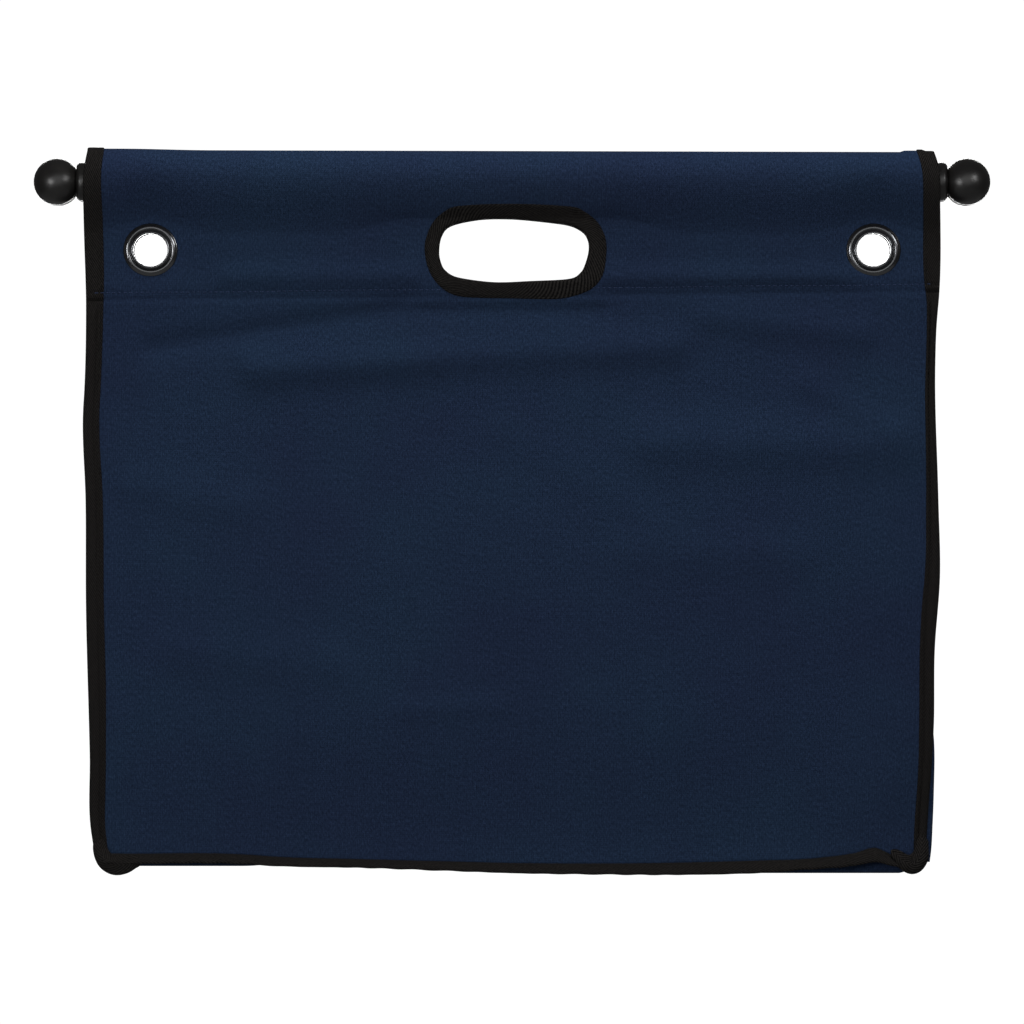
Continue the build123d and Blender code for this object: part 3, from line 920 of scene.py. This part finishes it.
def fold_path(off, count=60):
    """The section of a folded sheet, from its front seam to the crease and on to the back seam.

    Returns distance inwards from the seams and depth. Each half is a straight run that stands off its
    hinge line by LAYER plus off, and the crease is part of a circle around its axis.
    """
    run = np.linspace(0.3, HALF - 0.4, count)
    stand = LAYER + off
    inward = run * np.cos(LEAN) + stand * np.sin(LEAN)
    depth = SEAM[1] + run * np.sin(LEAN) - stand * np.cos(LEAN)
    turn = np.linspace(-np.pi / 2 + LEAN, np.pi / 2 - LEAN, 13)
    centre = abs(SEAM[0]) - abs(CREASE[0])
    arc_in = centre + stand * np.cos(turn)
    arc_depth = stand * np.sin(turn)
    return (
        np.concatenate((inward, arc_in, inward[::-1])),
        np.concatenate((depth, arc_depth, -depth[::-1])),
    )


def foot_line(inward):
    """Height of a gusset's lower edge: it is drawn up behind the corners, where the tapes are gathered."""
    return 10.5 - 3.3 * smooth(inward / 14)


def make_gusset(side_name):
    """A side gusset: one sheet of canvas that bends at its crease, with tape over its top and foot."""
    side = SIDES[side_name]
    inward, depth = fold_path(0.0)
    run = np.concatenate(([0], np.cumsum(np.hypot(np.diff(inward), np.diff(depth)))))
    share = np.linspace(0, 1, 70)[:, None]
    low = foot_line(inward)[None, :] + 0.6
    z = low + (GUSSET_TOP - 0.7 - low) * share
    slack = 0.35 * np.sin(np.pi * np.clip(run / run[-1] * 2 % 1, 0, 1))[None, :]
    slack = slack * np.sin(z / 29 + run[None, :] / 37)
    x = side * (abs(SEAM[0]) - inward)[None, :] + 0 * z
    y = depth[None, :] + slack * np.where(np.abs(depth) > 1.4, np.sign(depth), 0)[None, :]
    uv = np.stack((run[None, :] + 0 * z, z), axis=-1) * 0.001
    stem = side_name + "_gusset"
    sheet = mesh_object(stem + "_canvas", [(np.stack((x, y, z), axis=-1), uv, None)], CANVAS, CLOTH - 0.1)
    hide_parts(stem + "_front_half", stem + "_back_half")
    pieces = [sheet]
    # Tape sections: from one face over the edge to the other, as stand-off and distance from the edge.
    section_off = np.array((-0.62, -0.86, -0.9, -0.9, -0.88, -0.6, 0.0, 0.6, 0.88, 0.9, 0.9, 0.86, 0.62))
    section_in = np.array((12.3, 12.1, 9.0, 5.0, 1.2, 0.15, 0.0, 0.15, 1.2, 5.0, 9.0, 12.1, 12.3))
    for label, nodes in (("rim", "_rim_binding"), ("foot", "_foot_binding")):
        rows = []
        for off, back in zip(section_off, section_in):
            inward, depth = fold_path(off)
            edge = GUSSET_TOP - back if label == "rim" else foot_line(inward) + back
            rows.append(np.stack((side * (abs(SEAM[0]) - inward), depth, edge + 0 * inward), axis=-1))
        points = np.stack(rows, axis=0)
        across = np.cumsum(np.concatenate(([0], np.hypot(np.diff(section_off), np.diff(section_in)))))
        uv = np.stack((run[None, :] + 0 * across[:, None], across[:, None] - across[6] + 0 * run[None, :]), axis=-1)
        tape = mesh_object(f"{stem}_{label}_tape", [(points, uv * 0.001, None)], BLACK_TAPE, TAPE)
        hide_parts(stem + "_front" + nodes, stem + "_back" + nodes)
        pieces.append(tape)
    for piece in pieces:
        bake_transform(piece)


def make_bottom():
    """The bottom: one sheet that bends at its crease, with slanted ends, and its four folded corners."""
    rise, depth = fold_path(0.0)
    run = np.concatenate(([0], np.cumsum(np.hypot(np.diff(rise), np.diff(depth)))))
    level = np.minimum(run, run[-1] - run)
    end = abs(SEAM[0]) - 11.6 - np.minimum(level, HALF - 0.4)
    share = np.linspace(-1, 1, 120)[None, :]
    x = end[:, None] * share
    sway = 0.4 * np.sin(x / 43) * np.sin(np.pi * np.clip(level / HALF, 0, 1))[:, None]
    y = depth[:, None] + sway * (np.abs(depth) > 1.4)[:, None] * np.sign(depth)[:, None]
    z = SEAM_Z + rise[:, None] + 0 * x
    uv = np.stack((x, run[:, None] + 0 * x), axis=-1) * 0.001
    sheet = mesh_object("bottom_canvas", [(np.stack((x, y, z), axis=-1), uv, None)], CANVAS, CLOTH - 0.1)
    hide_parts("bottom_front_half", "bottom_back_half")
    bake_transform(sheet)
    near = abs(SEAM[0]) - abs(corner_low[0])
    for side_name, side in SIDES.items():
        for depth_name, turned in DEPTHS.items():
            along = np.linspace(0.3, HALF - 0.2, 40)[:, None]
            share = np.linspace(0, 1, 30)[None, :]
            inward = near + 0.4 + (along + 17.9) * share
            stand = LAYER + 1.5
            y = SEAM[1] + along * np.sin(LEAN) - stand * np.cos(LEAN) + 0 * inward
            z = SEAM_Z + along * np.cos(LEAN) + stand * np.sin(LEAN) + 0 * inward
            x = side * (abs(SEAM[0]) - inward)
            uv = np.stack((inward, along + 0 * inward), axis=-1) * 0.001
            name = f"bottom_{depth_name}_{side_name}_corner"
            web = mesh_object(name + "_canvas", [(np.stack((x, y, z), axis=-1), uv, None)], CANVAS, CLOTH - 0.1,
                              depth=turned)
            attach(web, name)
            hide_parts(name)


# ---------------------------------------------------------------- stitches


def stitch_row(centre, along, out, length, radius):
    """Stitches as one grid each: a thread that comes out of the cloth, runs, and goes back in.

    A point is the stitch's middle, plus its share of the length along, plus a circle round the thread
    that narrows to nothing at both ends.
    """
    share = np.array((-0.5, -0.36, 0.0, 0.36, 0.5))
    width = np.array((0.0, 0.8, 1.0, 0.8, 0.0))
    lift = np.array((-0.35, 0.05, 0.25, 0.05, -0.35))
    turn = np.linspace(0, 2 * np.pi, 7)
    across = np.cross(along, out)
    middle = centre[:, None, None] + along[:, None, None] * (share * length)[None, :, None, None]
    middle = middle + out[:, None, None] * lift[None, :, None, None]
    turned = turn[None, None, :, None]
    ring = across[:, None, None] * np.cos(turned) + out[:, None, None] * np.sin(turned)
    points = middle + ring * (radius * width)[None, :, None, None]
    uv = np.stack(np.broadcast_arrays(share[:, None] * length, turn[None, :] * 0.1), axis=-1) * 0.001
    return [(points[i], uv, None) for i in range(len(points))]


def make_stitches(depth_name):
    """The hem's pale row through wall and tapes, and the black rows that hold the tapes."""
    x = np.arange(-277.0, 278.0, 3.8)
    normal = np.zeros((len(x), 3))
    normal[:, 1] = -1.0
    parts = []
    for k in (1.0, 3.93):
        y, z = wall(x, np.full_like(x, k))
        taped = (x < outer_edge(-1, z) + tape_width(-1, z)) | (x > outer_edge(1, z) - tape_width(1, z))
        outer = -1.0 if k < 2 else 1.0
        lift = CLOTH / 2 + 0.05 + TAPE * 1.25 * taped
        centre = np.stack((x, y + outer * lift, z + 0.2 * np.sin(x * 1.7)), axis=-1)
        along = np.stack((np.ones_like(x), 0 * x, 0.03 * np.sin(x * 2.3)), axis=-1)
        along = along / np.linalg.norm(along, axis=-1, keepdims=True)
        parts += stitch_row(centre, along, outer * -normal, 2.7, 0.3)
    pale = mesh_object(
        depth_name + "_hem_stitches", parts, BLUE_THREAD, closed=True, depth=DEPTHS[depth_name]
    )
    parts = []
    for side in (-1, 1):
        k = np.concatenate((np.arange(0.03, 0.985, 0.0092), np.arange(1.04, 1.98, 0.085)))
        x = side * 270.0 + 0 * k
        for _ in range(3):
            z = wall(x, k)[1]
            x = outer_edge(side, z) - side * (tape_width(side, z) - 1.5)
        y, z = wall(x, k)
        centre = np.stack((x, y - CLOTH / 2 - TAPE * 1.2, z), axis=-1)
        along = np.zeros_like(centre)
        along[:, 2] = 1.0
        out = np.zeros_like(centre)
        out[:, 1] = -1.0
        parts += stitch_row(centre, along, out, 2.4, 0.26)
    inner = around(OPENING, 95)[:-1]
    outer = around(TAPED_EDGE, 95)[:-1]
    ring = inner * 0.17 + outer * 0.83
    way = np.roll(ring, -1, axis=0) - np.roll(ring, 1, axis=0)
    way = way / np.linalg.norm(way, axis=-1, keepdims=True)
    z = GRIP_Z + ring[:, 1]
    centre = np.stack((ring[:, 0], on_wall(ring[:, 0], z, True) + CLOTH / 2 - 2.02, z), axis=-1)
    along = np.stack((way[:, 0], 0 * z, way[:, 1]), axis=-1)
    out = np.zeros_like(centre)
    out[:, 1] = -1.0
    parts += stitch_row(centre, along, out, 2.3, 0.26)
    dark = mesh_object(
        depth_name + "_tape_stitches", parts, BLACK_THREAD, closed=True, depth=DEPTHS[depth_name]
    )
    for made, finish in ((pale, "navy_canvas"), (dark, "black_twill_tape")):
        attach(made, depth_name + "_wall")
    return [pale, dark]


# ---------------------------------------------------------------- the bin

for depth_name in DEPTHS:
    canvas = make_wall(depth_name)
    trim = [make_grip_tape(depth_name), make_bottom_tape(depth_name)]
    for side_name in SIDES:
        trim += make_side_tapes(depth_name, side_name)
        trim.append(make_corner_tape(depth_name, side_name))
        make_eyelet(depth_name, side_name)
        make_finial(depth_name, side_name)
    trim += make_seam_folds(depth_name)
    trim += make_stitches(depth_name)
    tube = make_rod(depth_name)
for side_name in SIDES:
    make_gusset(side_name)
make_bottom()

# ---------------------------------------------------------------- studio


def soft_light(name, azimuth, elevation, distance, size, power, mirrored=True):
    """A square softbox that faces the bin from an azimuth, 0 in front and positive to the right.

    One that isn't mirrored gives light but no highlights, as a very large, even ceiling does.
    """
    light = bpy.data.lights.new(name, "AREA")
    light.shape = "SQUARE"
    light.size = size
    light.energy = power
    made = bpy.data.objects.new(name, light)
    a, e = np.radians((azimuth, elevation))
    way = Vector((np.sin(a) * np.cos(e), -np.cos(a) * np.cos(e), np.sin(e)))
    made.location = way * distance + Vector((0, 0, 0.25))
    made.visible_camera = False
    made.visible_glossy = mirrored
    made.rotation_euler = (-way).to_track_quat("-Z", "Y").to_euler()
    bpy.context.scene.collection.objects.link(made)


soft_light("front sheet", 2, 13, 3.2, 2.4, 20)
soft_light("left softbox", -35, 4, 2.6, 0.55, 20.5)
soft_light("right softbox", 42, 21, 2.6, 0.55, 16)
soft_light("ceiling sheet", -8, 77, 2.3, 1.8, 58, mirrored=False)
soft_light("back sheet", 180, 6, 2.6, 1.6, 80)

world = bpy.data.worlds.new("white studio")
world.use_nodes = True
bpy.context.scene.world = world
tree = world.node_tree
tree.nodes.clear()
seen = add_node(tree, "LightPath").outputs["Is Camera Ray"]
shown = add_node(tree, "Background", {"Color": (1, 1, 1, 1), "Strength": 1.05})
felt = add_node(tree, "Background", {"Color": (1, 1, 1, 1), "Strength": 0.07})
mixed = add_node(tree, "MixShader", {0: seen, 1: felt.outputs[0], 2: shown.outputs[0]})
add_node(tree, "OutputWorld", {"Surface": mixed.outputs[0]})

paper, tree = new_material("grey paper floor, matt, with painted glow")
place = add_node(tree, "TexCoord").outputs["Object"]
mottle = add_node(tree, "TexNoise", {"Vector": place, "Scale": 3.0})
# The paper has a painted glow, an emission seen only by the camera, that grows brighter outwards and ends as bright as
# the studio behind it, so that it has no edge.
out = add_node(tree, "VectorMath", {0: place}, operation="LENGTH").outputs["Value"]
painted_glow_range = {"Value": out, "From Min": 0.45, "From Max": 1.25, "To Min": 0.66, "To Max": 1.05}
glow = add_node(tree, "MapRange", painted_glow_range, interpolation_type="SMOOTHSTEP")
seen = add_node(tree, "LightPath").outputs["Is Camera Ray"]
# Mid grey paper, which looks pale to the camera only because of the painted glow.
sheet = add_node(
    tree,
    "BsdfPrincipled",
    {
        "Base Color": add_node(tree, "ValToRGB", {0: mottle}, ((0.3, "#717171"), (0.7, "#7a7a7a"))),
        "Roughness": 0.9,
        "Emission Color": (1, 1, 1, 1),
        "Emission Strength": add_node(tree, "Math", {0: glow, 1: seen}, operation="MULTIPLY"),
    },
)
add_node(tree, "OutputMaterial", {"Surface": sheet})
turn, far = np.meshgrid(np.linspace(0, 2 * np.pi, 97), np.linspace(0, 1300, 5))
disc = np.stack((far * np.cos(turn), far * np.sin(turn), 0 * far - 260.0), axis=-1)
floor = mesh_object("floor", [(disc, np.zeros((5, 97, 2)), None)], paper)

camera_data = bpy.data.cameras.new("camera")
camera_data.lens = 500.0
camera_data.sensor_width = 36.0
camera_data.clip_end = 40.0
camera = bpy.data.objects.new("camera", camera_data)
VIEW_WIDE = 0.6827  # how wide the view is at the wall's face, in metres
away = VIEW_WIDE * camera_data.lens / camera_data.sensor_width
camera.location = (0.0, -FACE * 0.001 - away, 0.2423)
camera.rotation_euler = (np.radians(90), 0, 0)
bpy.context.scene.collection.objects.link(camera)
bpy.context.scene.camera = camera
bpy.context.scene.view_settings.view_transform = "Standard"
